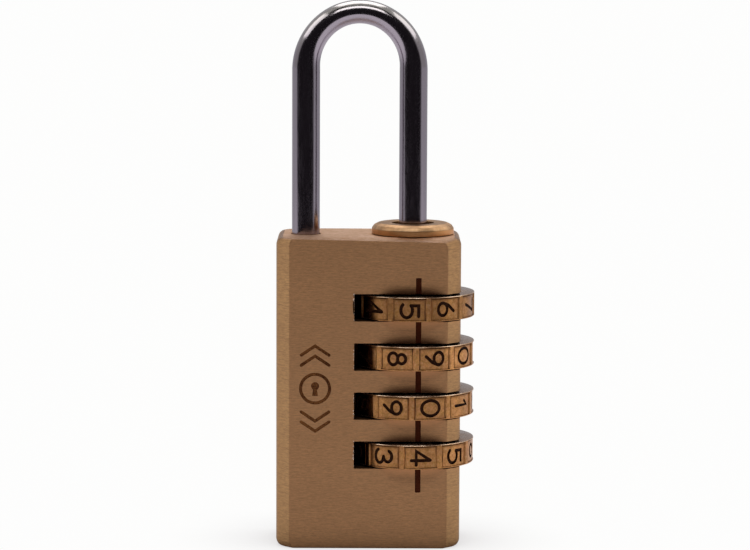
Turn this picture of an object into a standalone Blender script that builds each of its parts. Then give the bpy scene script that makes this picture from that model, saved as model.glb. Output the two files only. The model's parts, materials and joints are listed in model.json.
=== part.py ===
"""Four-dial combination padlock, 20 mm class, with a solid brass body.

The body is one block with a stepped bore for the long shackle leg, a blind hole for the toe, four
slots for the dials and a pocket with a spring and a ball behind each dial.  Every dial turns on
the bore's axis and drives a code sleeve.  Each sleeve has a chamber, where a fin of the shackle
waits while the lock is shut, and above it a wall with one gate that lets the fin rise.

X runs to the right, Y to the back and Z up.  The origin is the centre of the body's bottom face.
"""

import math

import bmesh
import bpy
from mathutils import Matrix, Vector

MM = 0.001

# Body block
BODY_WIDTH = 20.0 * MM
BODY_DEPTH = 11.2 * MM
BODY_HEIGHT = 33.85 * MM
BODY_CORNER = 1.46 * MM  # leg of the chamfer on the four upright edges
BODY_EDGE = 0.30 * MM  # chamfer around the top and bottom faces

# Axes of the two shackle legs; the dials and sleeves turn on the long leg's axis
AXIS_X = 4.8 * MM
TOE_X = -6.88 * MM

# Dials and their slots, counted from the top
DIAL_COUNT = 4
DIGITS = 10
DIGIT_STEP = 2.0 * math.pi / DIGITS
DIAL_PITCH = 5.36 * MM
DIAL_RADIUS = 6.78 * MM
DIAL_HEIGHT = 2.61 * MM
DIAL_LIP = 0.22 * MM  # height of the rims above and below a digit panel
DIAL_EDGE = 0.08 * MM
PANEL_HALF_ANGLE = math.radians(15.6)
PANEL_DEPTH = 0.06 * MM  # how far a flat panel's ends lie inside the dial's circle
SLOT_HEIGHT = 2.97 * MM
SLOT_TOP = 27.85 * MM  # ceiling of the first slot
SLOT_CUTTER_RADIUS = 20.0 * MM  # the slots are milled from the right by a disc cutter
SLOT_END = -2.33 * MM  # deepest point of a slot's curved end wall
DIAL_DROP = 0.07 * MM  # a dial sits this far below the middle of its slot
# Turn of each dial from the place where a digit, or the rib after it, faces the front
DIAL_REST = [math.radians(a) for a in (-3.5, 3.0, -1.0, 8.0)]
FRONT_DIGIT = [5.0, 8.5, 9.5, 4.0]  # half values: the rib between two digits faces the front

# Engraved index line on the front face
INDEX_X = 5.4 * MM
INDEX_WIDTH = 0.57 * MM
INDEX_DEPTH = 0.15 * MM
INDEX_BOTTOM = 6.2 * MM
INDEX_TOP = 29.6 * MM

# Code sleeves, measured from the middle of their dial
SLEEVE_RADIUS = 3.05 * MM
KEY_RADIUS = 3.42 * MM
KEY_WIDTH = 0.9 * MM
KEY_HEIGHT = 2.2 * MM
TOOTH_RADIUS = 3.12 * MM  # bore of a dial between its spline grooves
GROOVE_RADIUS = 3.52 * MM
GROOVE_WIDTH = 1.02 * MM
SLEEVE_BELOW = 3.10 * MM
SLEEVE_ABOVE = 2.20 * MM
FLANGE_HEIGHT = 1.0 * MM
FLANGE_RADIUS = 3.50 * MM
CHAMBER_HEIGHT = 1.90 * MM
CHAMBER_RADIUS = 2.75 * MM
SLEEVE_BORE = 1.60 * MM
GATE_WIDTH = 1.45 * MM

# Bore of the body, from the bottom up
BORE_RADIUS = 3.55 * MM
SHOULDER_GAP = 0.05 * MM  # play between the top sleeve and the shoulder above it
SPIGOT_RADIUS = 3.10 * MM
SPIGOT_BOTTOM = 30.27 * MM
FIT_GAP = 0.04 * MM

# Shackle
WIRE_RADIUS = 1.52 * MM
ARCH_FOOT_Z = 51.90 * MM  # height at which the legs start to bend
ARCH_RISE = 6.13 * MM  # from there up to the top of the bent wire's centre line
ARCH_HALF_THICKNESS = 1.28 * MM  # bending has flattened the wire to twice this at the top
TOE_END_Z = 28.9 * MM
TOE_HOLE_BOTTOM = 28.3 * MM
TOE_HOLE_RADIUS = 1.60 * MM
LEG_END_Z = 5.6 * MM
FIN_RADIUS = 2.62 * MM
FIN_WIDTH = 1.2 * MM
FIN_HEIGHT = 1.5 * MM
FIN_RISE = 0.15 * MM  # clearance under a fin in its chamber
LEG_BEVEL = 0.3 * MM

# Collar pressed into the body around the long leg
COLLAR_RADIUS = 4.47 * MM
COLLAR_TOP_RADIUS = 3.60 * MM
COLLAR_RIM = 0.68 * MM
COLLAR_HEIGHT = 1.26 * MM
COLLAR_BORE = 2.32 * MM
SEAT_GAP = 0.04 * MM

# Detent behind each dial: a ball that a spring pushes out of a pocket in the slot's end wall
DETENT_Y = 2.09 * MM
BALL_RADIUS = 0.60 * MM
POCKET_RADIUS = 0.66 * MM
POCKET_DEPTH = 3.15 * MM
BALL_CLEARANCE = 0.03 * MM
DETENT_WIRE = 0.10 * MM
DETENT_COIL = 0.44 * MM
DETENT_TURNS = 4

# Spring, washer and plug below the sleeves
WASHER_RADIUS = 3.45 * MM
WASHER_BORE = 1.75 * MM
WASHER_HEIGHT = 0.7 * MM
PLUG_RADIUS = 3.50 * MM
PLUG_BOTTOM = 0.12 * MM
PLUG_TOP = 1.80 * MM
PLUG_EDGE = 0.15 * MM
STACK_WIRE = 0.24 * MM
STACK_COIL = 2.75 * MM
STACK_TURNS = 4

# How far a cutter runs past the face it opens, and how far joined shapes run into each other
OVERRUN = 1.0 * MM
OVERLAP = 0.2 * MM

# Numbers of steps round a circle
FINE = 48
MEDIUM = 32
COARSE = 16
DIAL_STEPS = 4 * DIGITS
WIRE_SIDES = 20
BALL_STEPS = 12
DETENT_COIL_STEPS = 10
DETENT_WIRE_SIDES = 5
STACK_WIRE_SIDES = 6
SHARP_ANGLE = math.radians(35.0)  # edges sharper than this are shaded sharp

AXIS = Vector((AXIS_X, 0.0, 0.0))
BRASS = (0.50, 0.31, 0.15)
DIAL_BRASS = (0.55, 0.34, 0.14)
CHROME = (0.60, 0.59, 0.62)
STEEL = (0.45, 0.45, 0.46)


def clear_scene():
    for obj in list(bpy.data.objects):
        bpy.data.objects.remove(obj, do_unlink=True)


def metal(name, colour, roughness):
    material = bpy.data.materials.new(name)
    material.use_nodes = True
    shader = material.node_tree.nodes["Principled BSDF"]
    shader.inputs["Base Color"].default_value = (*colour, 1.0)
    shader.inputs["Metallic"].default_value = 1.0
    shader.inputs["Roughness"].default_value = roughness
    return material


def add_object(name, bm, material=None, location=(0.0, 0.0, 0.0)):
    bmesh.ops.recalc_face_normals(bm, faces=bm.faces)
    mesh = bpy.data.meshes.new(name)
    bm.to_mesh(mesh)
    bm.free()
    mesh.shade_smooth()
    mesh.set_sharp_from_angle(angle=SHARP_ANGLE)
    obj = bpy.data.objects.new(name, mesh)
    obj.location = location
    bpy.context.collection.objects.link(obj)
    if material:
        mesh.materials.append(material)
    return obj


def add_cutter(name, bm, location=(0.0, 0.0, 0.0)):
    cutter = add_object(name, bm, location=location)
    cutter.hide_render = True
    cutter.display_type = "WIRE"
    return cutter


def boolean(obj, tool, operation="DIFFERENCE"):
    modifier = obj.modifiers.new(tool.name, "BOOLEAN")
    modifier.operation = operation
    modifier.object = tool


def baked_mesh(obj):
    """The object's mesh with its modifiers applied, for pieces that share it."""
    bpy.context.view_layer.update()
    evaluated = obj.evaluated_get(bpy.context.evaluated_depsgraph_get())
    mesh = bpy.data.meshes.new_from_object(evaluated)
    mesh.name = obj.name
    return mesh


def turned(profile, steps):
    """A solid of revolution about Z.  The profile is a closed loop of (radius, height) points."""
    bm = bmesh.new()
    verts = [bm.verts.new((radius, 0.0, z)) for radius, z in profile]
    edges = [bm.edges.new((a, b)) for a, b in zip(verts, verts[1:] + verts[:1])]
    bmesh.ops.spin(
        bm, geom=verts + edges, cent=(0, 0, 0), axis=(0, 0, 1), angle=2.0 * math.pi,
        steps=steps, use_merge=True,
    )
    bmesh.ops.remove_doubles(bm, verts=bm.verts, dist=0.001 * MM)
    on_axis = [e for e in bm.edges if all(math.hypot(v.co.x, v.co.y) < 1e-9 for v in e.verts)]
    bmesh.ops.delete(bm, geom=on_axis, context="EDGES")
    return bm


def prism(outlines):
    """A solid through closed outlines of equal point count, each (points, height), bottom up."""
    bm = bmesh.new()
    rings = [[bm.verts.new((x, y, z)) for x, y in points] for points, z in outlines]
    for low, high in zip(rings, rings[1:]):
        for i in range(len(low)):
            j = (i + 1) % len(low)
            bm.faces.new((low[i], low[j], high[j], high[i]))
    bm.faces.new(rings[0][::-1])
    bm.faces.new(rings[-1])
    return bm


def add_box(bm, low, high, turn=None):
    """A box between two corners, then moved by an optional matrix."""
    low, high = Vector(low), Vector(high)
    place = Matrix.Translation((low + high) / 2.0) @ Matrix.Diagonal((*(high - low), 1.0))
    bmesh.ops.create_cube(bm, size=1.0, matrix=(turn or Matrix()) @ place)


def add_cylinder(bm, radius, depth, matrix, steps):
    bmesh.ops.create_cone(
        bm, cap_ends=True, segments=steps, radius1=radius, radius2=radius, depth=depth, matrix=matrix
    )


def tube(points, normals, side, radii, steps):
    """A bar along points.  Each ring lies in the plane of its normal and the side vector, and has
    a radius along each of them."""
    bm = bmesh.new()
    rings = []
    for point, normal, (high, wide) in zip(points, normals, radii):
        ring = []
        for k in range(steps):
            a = 2.0 * math.pi * k / steps
            ring.append(bm.verts.new(point + high * math.cos(a) * normal + wide * math.sin(a) * side))
        rings.append(ring)
    for low, high in zip(rings, rings[1:]):
        for i in range(steps):
            j = (i + 1) % steps
            bm.faces.new((low[i], low[j], high[j], high[i]))
    bm.faces.new(rings[0][::-1])
    bm.faces.new(rings[-1])
    return bm


def coil(coil_radius, wire_radius, low, high, turns, steps, sides):
    """A compression spring about Z that fills the height from low to high."""
    count = turns * steps
    bottom, rise = low + wire_radius, high - low - 2.0 * wire_radius
    points, normals = [], []
    for i in range(count + 1):
        a = 2.0 * math.pi * i / steps
        outward = Vector((math.cos(a), math.sin(a), 0.0))
        points.append(coil_radius * outward + Vector((0.0, 0.0, bottom + rise * i / count)))
        normals.append(outward)
    radii = [(wire_radius, wire_radius)] * len(points)
    return tube(points, normals, Vector((0.0, 0.0, 1.0)), radii, sides)


def slot_middle(i):
    return SLOT_TOP - SLOT_HEIGHT / 2.0 - i * DIAL_PITCH


def dial_middle(i):
    return slot_middle(i) - DIAL_DROP


def dial_turn(i):
    """Angle of the digit 0 of a dial about Z; digits follow each other anticlockwise."""
    return -math.pi / 2.0 + DIAL_REST[i] - FRONT_DIGIT[i] * DIGIT_STEP


def body_outline(inset):
    """The body's eight-sided section, drawn in from its full size by the inset."""
    x, y = BODY_WIDTH / 2.0 - inset, BODY_DEPTH / 2.0 - inset
    c = BODY_CORNER - inset * (2.0 - math.sqrt(2.0))
    right = [(x - c, -y), (x, c - y), (x, y - c), (x - c, y)]
    return right + [(-x, -y) for x, y in right]


def make_body(material):
    e = BODY_EDGE
    block = prism([
        (body_outline(e), 0.0),
        (body_outline(0.0), e),
        (body_outline(0.0), BODY_HEIGHT - e),
        (body_outline(e), BODY_HEIGHT),
    ])
    body = add_object("lock_body", block, material)

    shoulder = dial_middle(0) + SLEEVE_ABOVE + SHOULDER_GAP
    bore = turned([
        (0.0, BODY_HEIGHT + OVERRUN),
        (SPIGOT_RADIUS + FIT_GAP, BODY_HEIGHT + OVERRUN),
        (SPIGOT_RADIUS + FIT_GAP, SPIGOT_BOTTOM - SEAT_GAP),
        (CHAMBER_RADIUS, SPIGOT_BOTTOM - SEAT_GAP),
        (CHAMBER_RADIUS, shoulder),
        (BORE_RADIUS, shoulder),
        (BORE_RADIUS, -OVERRUN),
        (0.0, -OVERRUN),
    ], FINE)
    boolean(body, add_cutter("bore_cutter", bore, AXIS))

    slots = bmesh.new()
    for i in range(DIAL_COUNT):
        centre = Vector((SLOT_END + SLOT_CUTTER_RADIUS, 0.0, slot_middle(i)))
        add_cylinder(slots, SLOT_CUTTER_RADIUS, SLOT_HEIGHT, Matrix.Translation(centre), 2 * FINE)
    boolean(body, add_cutter("slot_cutter", slots))

    depth = BODY_HEIGHT + OVERRUN - TOE_HOLE_BOTTOM
    toe = bmesh.new()
    centre = Vector((TOE_X, 0.0, TOE_HOLE_BOTTOM + depth / 2.0))
    add_cylinder(toe, TOE_HOLE_RADIUS, depth, Matrix.Translation(centre), MEDIUM)
    boolean(body, add_cutter("toe_cutter", toe))

    pockets = bmesh.new()
    depth = POCKET_DEPTH + OVERRUN
    for i in range(DIAL_COUNT):
        centre = Vector((SLOT_END + OVERRUN - depth / 2.0, DETENT_Y, dial_middle(i)))
        place = Matrix.Translation(centre) @ Matrix.Rotation(math.pi / 2.0, 4, "Y")
        add_cylinder(pockets, POCKET_RADIUS, depth, place, COARSE)
    boolean(body, add_cutter("pocket_cutter", pockets))

    groove = bmesh.new()
    front = -BODY_DEPTH / 2.0
    low = (INDEX_X - INDEX_WIDTH / 2.0, front - OVERRUN, INDEX_BOTTOM)
    add_box(groove, low, (INDEX_X + INDEX_WIDTH / 2.0, front + INDEX_DEPTH, INDEX_TOP))
    boolean(body, add_cutter("index_cutter", groove))


def dial_mesh(material):
    """One dial: a ring with a flat panel for each digit, ribs between them and a splined bore."""
    half, edge = DIAL_HEIGHT / 2.0, DIAL_EDGE
    ring = turned([
        (TOOTH_RADIUS, half),
        (DIAL_RADIUS - edge, half),
        (DIAL_RADIUS, half - edge),
        (DIAL_RADIUS, edge - half),
        (DIAL_RADIUS - edge, -half),
        (TOOTH_RADIUS, -half),
    ], DIAL_STEPS)
    pattern = add_object("dial_pattern", ring, material)

    panels, grooves = bmesh.new(), bmesh.new()
    floor = DIAL_RADIUS * math.cos(PANEL_HALF_ANGLE) - PANEL_DEPTH
    wide = DIAL_RADIUS * math.sin(PANEL_HALF_ANGLE)
    for k in range(DIGITS):
        turn = Matrix.Rotation(k * DIGIT_STEP, 4, "Z")
        high = half - DIAL_LIP
        add_box(panels, (floor, -wide, -high), (DIAL_RADIUS + OVERRUN, wide, high), turn)
        low = (TOOTH_RADIUS - OVERLAP, -GROOVE_WIDTH / 2.0, -DIAL_HEIGHT)
        add_box(grooves, low, (GROOVE_RADIUS, GROOVE_WIDTH / 2.0, DIAL_HEIGHT), turn)
    panel_tool = add_cutter("panel_cutter", panels)
    groove_tool = add_cutter("groove_cutter", grooves)
    boolean(pattern, panel_tool)
    boolean(pattern, groove_tool)
    mesh = baked_mesh(pattern)
    for obj in (pattern, panel_tool, groove_tool):
        bpy.data.objects.remove(obj)
    return mesh


def make_dials(material):
    mesh = dial_mesh(material)
    for i in range(DIAL_COUNT):
        dial = bpy.data.objects.new(f"dial_{i + 1}", mesh)
        dial.location = AXIS + Vector((0.0, 0.0, dial_middle(i)))
        dial.rotation_euler.z = dial_turn(i)
        bpy.context.collection.objects.link(dial)


def make_sleeve(i, material):
    """A code sleeve: its keys follow the dial's grooves, its gate faces the shackle's fin."""
    low, high = -SLEEVE_BELOW, SLEEVE_ABOVE
    shell = turned([
        (SLEEVE_RADIUS, high),
        (SLEEVE_RADIUS, low + FLANGE_HEIGHT),
        (FLANGE_RADIUS, low + FLANGE_HEIGHT),
        (FLANGE_RADIUS, low),
        (CHAMBER_RADIUS, low),
        (CHAMBER_RADIUS, low + CHAMBER_HEIGHT),
        (SLEEVE_BORE, low + CHAMBER_HEIGHT),
        (SLEEVE_BORE, high),
    ], MEDIUM)
    centre = AXIS + Vector((0.0, 0.0, dial_middle(i)))
    sleeve = add_object(f"code_sleeve_{i + 1}", shell, material, centre)

    keys = bmesh.new()
    key_angle = math.fmod(dial_turn(i), DIGIT_STEP)
    for opposite in (0.0, math.pi):
        turn = Matrix.Rotation(key_angle + opposite, 4, "Z")
        low_corner = (SLEEVE_RADIUS - OVERLAP, -KEY_WIDTH / 2.0, -KEY_HEIGHT / 2.0)
        add_box(keys, low_corner, (KEY_RADIUS, KEY_WIDTH / 2.0, KEY_HEIGHT / 2.0), turn)
    boolean(sleeve, add_cutter(f"key_tool_{i + 1}", keys, centre), "UNION")

    gate = bmesh.new()
    corner = (-CHAMBER_RADIUS, -GATE_WIDTH / 2.0, low + CHAMBER_HEIGHT - OVERLAP)
    add_box(gate, corner, (0.0, GATE_WIDTH / 2.0, high + OVERLAP))
    boolean(sleeve, add_cutter(f"gate_cutter_{i + 1}", gate, centre))


def make_shackle(material):
    """A bent wire with a short toe on the left and a long leg with one fin for each sleeve."""
    reach = (AXIS_X - TOE_X) / 2.0
    foot = Vector(((AXIS_X + TOE_X) / 2.0, 0.0, ARCH_FOOT_Z))
    left, right = Vector((-1.0, 0.0, 0.0)), Vector((1.0, 0.0, 0.0))
    narrow = (WIRE_RADIUS - LEG_BEVEL, WIRE_RADIUS - LEG_BEVEL)
    full = (WIRE_RADIUS, WIRE_RADIUS)
    points = [Vector((TOE_X, 0.0, z)) for z in (TOE_END_Z, TOE_END_Z + LEG_BEVEL)]
    normals, radii = [left, left], [narrow, full]
    for i in range(FINE // 2 + 1):
        a = math.pi * (1.0 - 2.0 * i / FINE)
        points.append(foot + Vector((reach * math.cos(a), 0.0, ARCH_RISE * math.sin(a))))
        normals.append(Vector((ARCH_RISE * math.cos(a), 0.0, reach * math.sin(a))).normalized())
        flattening = (WIRE_RADIUS - ARCH_HALF_THICKNESS) * math.sin(a)
        radii.append((WIRE_RADIUS - flattening, WIRE_RADIUS))
    points += [Vector((AXIS_X, 0.0, z)) for z in (LEG_END_Z + LEG_BEVEL, LEG_END_Z)]
    normals += [right, right]
    radii += [full, narrow]
    bar = tube(points, normals, Vector((0.0, 1.0, 0.0)), radii, WIRE_SIDES)
    shackle = add_object("shackle", bar, material)

    fins = bmesh.new()
    for i in range(DIAL_COUNT):
        low = dial_middle(i) - SLEEVE_BELOW + FIN_RISE
        corner = (AXIS_X - FIN_RADIUS, -FIN_WIDTH / 2.0, low)
        add_box(fins, corner, (AXIS_X - OVERLAP, FIN_WIDTH / 2.0, low + FIN_HEIGHT))
    boolean(shackle, add_cutter("fin_tool", fins), "UNION")


def make_collar(material):
    profile = [
        (COLLAR_BORE, COLLAR_HEIGHT),
        (COLLAR_TOP_RADIUS, COLLAR_HEIGHT),
        (COLLAR_RADIUS, COLLAR_RIM),
        (COLLAR_RADIUS, SEAT_GAP),
        (SPIGOT_RADIUS, SEAT_GAP),
        (SPIGOT_RADIUS, SPIGOT_BOTTOM - BODY_HEIGHT),
        (COLLAR_BORE, SPIGOT_BOTTOM - BODY_HEIGHT),
    ]
    seat = AXIS + Vector((0.0, 0.0, BODY_HEIGHT))
    add_object("shackle_collar", turned(profile, FINE), material, seat)


def make_detents(material):
    """A ball and a spring for each dial, lying along X in the pocket behind it."""
    reach = DIAL_RADIUS + BALL_RADIUS + BALL_CLEARANCE
    ball_x = AXIS_X - math.sqrt(reach ** 2 - DETENT_Y ** 2)
    spring_high = ball_x - BALL_RADIUS - FIT_GAP
    spring_low = SLOT_END - POCKET_DEPTH + FIT_GAP
    lie_down = Matrix.Rotation(math.pi / 2.0, 4, "Y")
    for i in range(DIAL_COUNT):
        ball = bmesh.new()
        bmesh.ops.create_uvsphere(
            ball, u_segments=BALL_STEPS, v_segments=BALL_STEPS // 2 + 2, radius=BALL_RADIUS
        )
        z = dial_middle(i)
        add_object(f"detent_ball_{i + 1}", ball, material, (ball_x, DETENT_Y, z))

        spring = coil(
            DETENT_COIL, DETENT_WIRE, spring_low, spring_high, DETENT_TURNS,
            DETENT_COIL_STEPS, DETENT_WIRE_SIDES,
        )
        bmesh.ops.transform(spring, matrix=lie_down, verts=spring.verts)
        add_object(f"detent_spring_{i + 1}", spring, material, (0.0, DETENT_Y, z))


def make_stack_parts(brass, steel):
    """Washer, spring and plug that hold the sleeves up against the shoulder of the bore."""
    washer_top = dial_middle(DIAL_COUNT - 1) - SLEEVE_BELOW - FIT_GAP
    washer_low = washer_top - WASHER_HEIGHT
    washer = [
        (WASHER_BORE, washer_top),
        (WASHER_RADIUS, washer_top),
        (WASHER_RADIUS, washer_low),
        (WASHER_BORE, washer_low),
    ]
    add_object("spring_washer", turned(washer, MEDIUM), steel, AXIS)

    spring = coil(
        STACK_COIL, STACK_WIRE, PLUG_TOP + FIT_GAP, washer_low - FIT_GAP, STACK_TURNS,
        COARSE, STACK_WIRE_SIDES,
    )
    add_object("stack_spring", spring, steel, AXIS)

    plug = [
        (0.0, PLUG_TOP),
        (PLUG_RADIUS, PLUG_TOP),
        (PLUG_RADIUS, PLUG_BOTTOM + PLUG_EDGE),
        (PLUG_RADIUS - PLUG_EDGE, PLUG_BOTTOM),
        (0.0, PLUG_BOTTOM),
    ]
    add_object("bottom_plug", turned(plug, FINE), brass, AXIS)


def main():
    clear_scene()
    brass = metal("brushed_brass", BRASS, 0.38)
    dial_brass = metal("dial_brass", DIAL_BRASS, 0.35)
    chrome = metal("polished_chrome", CHROME, 0.08)
    steel = metal("spring_steel", STEEL, 0.30)
    make_body(brass)
    make_dials(dial_brass)
    for i in range(DIAL_COUNT):
        make_sleeve(i, brass)
    make_shackle(chrome)
    make_collar(brass)
    make_detents(steel)
    make_stack_parts(brass, steel)


main()
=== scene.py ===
import json
import math
import random

import bmesh
import bpy
from mathutils import Matrix, Vector


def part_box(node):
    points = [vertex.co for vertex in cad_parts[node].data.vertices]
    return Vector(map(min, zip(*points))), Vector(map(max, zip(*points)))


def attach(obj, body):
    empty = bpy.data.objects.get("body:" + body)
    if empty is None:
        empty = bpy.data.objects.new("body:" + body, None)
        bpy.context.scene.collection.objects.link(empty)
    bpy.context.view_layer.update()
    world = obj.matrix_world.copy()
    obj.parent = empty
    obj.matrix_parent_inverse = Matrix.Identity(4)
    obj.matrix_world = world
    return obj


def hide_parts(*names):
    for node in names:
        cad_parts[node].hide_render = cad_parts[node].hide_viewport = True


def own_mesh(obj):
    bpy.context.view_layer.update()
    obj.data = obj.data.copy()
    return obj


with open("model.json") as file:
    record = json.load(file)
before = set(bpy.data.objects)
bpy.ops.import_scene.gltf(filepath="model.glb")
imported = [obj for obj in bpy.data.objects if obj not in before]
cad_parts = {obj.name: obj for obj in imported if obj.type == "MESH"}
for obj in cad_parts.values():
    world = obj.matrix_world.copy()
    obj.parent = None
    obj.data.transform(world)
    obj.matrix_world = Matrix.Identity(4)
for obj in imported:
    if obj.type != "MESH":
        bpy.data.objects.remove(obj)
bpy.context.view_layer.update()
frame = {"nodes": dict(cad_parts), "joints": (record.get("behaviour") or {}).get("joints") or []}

# The looks of a four-dial brass combination padlock: finely finished pieces that stand for the
# plain CAD ones, procedural brass, chrome and steel, and a small photographic studio.
# Lengths are in metres.  X runs to the right, Y to the back and Z up.

MM = 0.001

# Places and sizes that come from the frame
BODY_LOW, BODY_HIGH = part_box("lock_body")
COLLAR_LOW, COLLAR_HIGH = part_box("shackle_collar")
SHACKLE_LOW, SHACKLE_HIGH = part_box("shackle")
PLUG_LOW, PLUG_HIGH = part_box("bottom_plug")
DIAL_LOW, DIAL_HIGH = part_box("dial_1")
JOINTS = {joint["name"]: joint for joint in frame["joints"]}
DIAL_COUNT = 4
DIAL_CENTRES = [Vector(JOINTS[f"dial_{i + 1}_turn"]["pos_m"]) for i in range(DIAL_COUNT)]
AXIS = Vector((DIAL_CENTRES[0].x, 0.0, 0.0))
DIAL_HEIGHT = DIAL_HIGH.z - DIAL_LOW.z
TOP, FRONT = BODY_HIGH.z, BODY_LOW.y
RIGHT, BACK, UP = Vector((1.0, 0.0, 0.0)), Vector((0.0, 1.0, 0.0)), Vector((0.0, 0.0, 1.0))

OVERRUN = 1.0 * MM  # how far a cutter runs past the face it opens
SHARP = 40.0  # degrees; sharper edges of the block and of turned pieces stay sharp

# Body block
CORNER = 1.46 * MM  # leg of the chamfer on the upright edges
CORNER_SHRINK = 0.3  # a chamfer's leg loses this much of what the section is drawn in by
CORNER_ROUND = 0.12 * MM  # rounding between the chamfers and the front and back
OUTER_ROUND = 0.55 * MM  # rounding between the chamfers and the sides
SIDE_ROUND = (0.75 * MM, 0.80 * MM)  # rounding of the sides at the top and bottom: depth, height
FACE_ROUND = (0.14 * MM, 0.14 * MM)  # the same at the front and back
WEAR_DROP = 0.42 * MM  # the front top edge is worn down by this much at its right end
WEAR_DEPTH = 1.6 * MM
SLOT_HEIGHT = 2.97 * MM
DIAL_DROP = 0.07 * MM  # a dial sits this far below the middle of its slot
SLOT_CUTTER_RADIUS = 20.0 * MM
SLOT_END = -2.33 * MM
EDGE_BREAK = 0.045 * MM  # rounding along the edges of slots, bores and lines
NICKS = 7  # chips along the left edge of each slot
NICK_SIZES = (0.07 * MM, 0.16 * MM)
INDEX_X = 5.4 * MM
INDEX_WIDTH = 0.57 * MM
INDEX_DEPTH = 0.14 * MM
INDEX_BOTTOM = 6.2 * MM
INDEX_TOP = 29.6 * MM
INDEX_ROUND = 0.06 * MM
BORE_RADIUS = 3.55 * MM
SHOULDER = 28.545 * MM  # height of the step that the top sleeve rests against
NECK_RADIUS = 2.75 * MM
SPIGOT_RADIUS = 3.10 * MM
SPIGOT_BOTTOM = 30.27 * MM
FIT_GAP = 0.04 * MM
TOE_X = -6.88 * MM
TOE_HOLE_RADIUS = 1.60 * MM
TOE_HOLE_BOTTOM = 28.3 * MM
POCKET_RADIUS = 0.66 * MM
POCKET_DEPTH = 3.15 * MM
POCKET_Y = 2.09 * MM

# Engraved ornament on the left of the front face: a ringed keyhole between two pairs of chevrons
MARK_CENTRE = Vector((-5.75, 17.55)) * MM  # x, z
MARK_LINE = 0.31 * MM
MARK_DEPTH = 0.10 * MM
MARK_RING = 1.72 * MM
KEYHOLE_EYE = (0.28 * MM, 0.42 * MM)  # height above the centre, and radius
KEYHOLE_FOOT = (0.30 * MM, 0.78 * MM)  # half width, and depth below the centre
CHEVRON = (1.5 * MM, 1.0 * MM)  # half width and rise
CHEVRON_STARTS = (2.55 * MM, 3.65 * MM)  # distances of a pair from the centre

# Dials
DIGITS = 10
DIGIT_STEP = 2.0 * math.pi / DIGITS
DIAL_RADIUS = 6.778 * MM
DIAL_BORE = 3.12 * MM
GROOVE_RADIUS = 3.52 * MM
GROOVE_WIDTH = 1.02 * MM
DIAL_LIP = 0.11 * MM
DIAL_BEVEL = (0.036 * MM, 0.062 * MM)  # depth and height of the worn bevel on the rims
DIAL_ROUND = 0.018 * MM
PANEL_HALF_ANGLE = math.radians(16.0)
PANEL_FLOOR = DIAL_RADIUS - 0.13 * MM  # radius
PANEL_CREST = 0.02 * MM  # a panel's slopes end this far outside the ribs
RIM_OVERRUN = 0.5 * MM  # how far the dial's cutters run past its rim
BORE_OVERRUN = 0.3 * MM  # and into its bore
PANEL_SLOPE = math.radians(1.0)  # a panel's upright edges slope up to the ribs over this angle
PANEL_LINE = 0.11 * MM  # width of the stamped lines at a panel's sides and of the painted shadow line along its top
PANEL_LINE_DEPTH = 0.05 * MM
DIAL_REST = [math.radians(a) for a in (-3.5, 3.0, -1.0, 8.0)]
FRONT_DIGIT = [5.0, 8.5, 9.5, 4.0]  # half values: the rib between two digits faces the front
DIGIT_WIDTH, DIGIT_HEIGHT = 1.10 * MM, 1.16 * MM  # size of a unit in the digits' drawings
STROKE = 0.35 * MM
STROKE_DEPTH = 0.20 * MM
LAYER_STEP = 0.01 * MM  # a digit's second line is cut this much deeper than its first

# Shackle
WIRE_RADIUS = (SHACKLE_HIGH.y - SHACKLE_LOW.y) / 2.0
WIRE_SIDES = 64
ARCH_STEPS = 96
ARCH_REACH = (AXIS.x - TOE_X) / 2.0
ARCH_FOOT = Vector(((AXIS.x + TOE_X) / 2.0, 0.0, 51.90 * MM))  # the legs start to bend at this height
ARCH_HALF_THICKNESS = 1.28 * MM  # bending has flattened the wire to twice this at the top
ARCH_RISE = SHACKLE_HIGH.z - ARCH_HALF_THICKNESS - ARCH_FOOT.z
TOE_END_Z = 28.9 * MM
LEG_BEVEL = 0.3 * MM
SLEEVE_BELOW = 3.10 * MM  # a sleeve's lower end is this far below its dial's middle
FIN_RADIUS = 2.62 * MM
FIN_WIDTH = 1.2 * MM
FIN_HEIGHT = 1.5 * MM
FIN_RISE = 0.15 * MM  # a fin starts this far above its sleeve's lower end
FIN_ROOT = 0.3 * MM  # a fin's inner end lies inside the leg, this far from its axis

# Springs behind the detent balls
SPRING_WIRE = 0.10 * MM  # radius of the wire
SPRING_TURNS = 4
SPRING_STEPS = 24  # points of a turn
SPRING_SIDES = 10  # sides of the wire

# Collar
COLLAR_RADIUS = 4.47 * MM
COLLAR_TOP_RADIUS = 3.76 * MM
COLLAR_SHOULDER = (4.24 * MM, 1.02 * MM)  # radius and height of the bend between the top and the rim
COLLAR_RIM = 0.68 * MM
COLLAR_BORE = 2.32 * MM
COLLAR_ROUND = 0.09 * MM

# Plug
PLUG_DISH = (2.4 * MM, 2.2 * MM, 0.12 * MM)  # radii at the ends of its slope, and depth
PLUG_CENTRE = (0.35 * MM, 0.40 * MM)  # radius, and depth from the bottom face
PLUG_ROUND = 0.12 * MM

# Camera, placed by its target, distance and angles in degrees
CAMERA_TARGET = Vector((0.69, 0.0, 29.29)) * MM
CAMERA_DISTANCE = 340.0 * MM
CAMERA_ELEVATION = 6.62
CAMERA_AZIMUTH = -0.12
CAMERA_ROLL = 0.24
CAMERA_LENS = 149.1

# Linear colours of the finishes
BRASS = (0.70, 0.385, 0.188)
# The next two tones are painted light: a lighter tone for faces turned to the sides, and a paler sheen
# for faces turned up.
SIDE_LIT_BRASS = (0.735, 0.45, 0.21)
TOP_SHEEN_BRASS = (0.66, 0.45, 0.33)
DIAL_BRASS = (0.86, 0.42, 0.14)
OXIDE = (0.048, 0.009, 0.0024)
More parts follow.
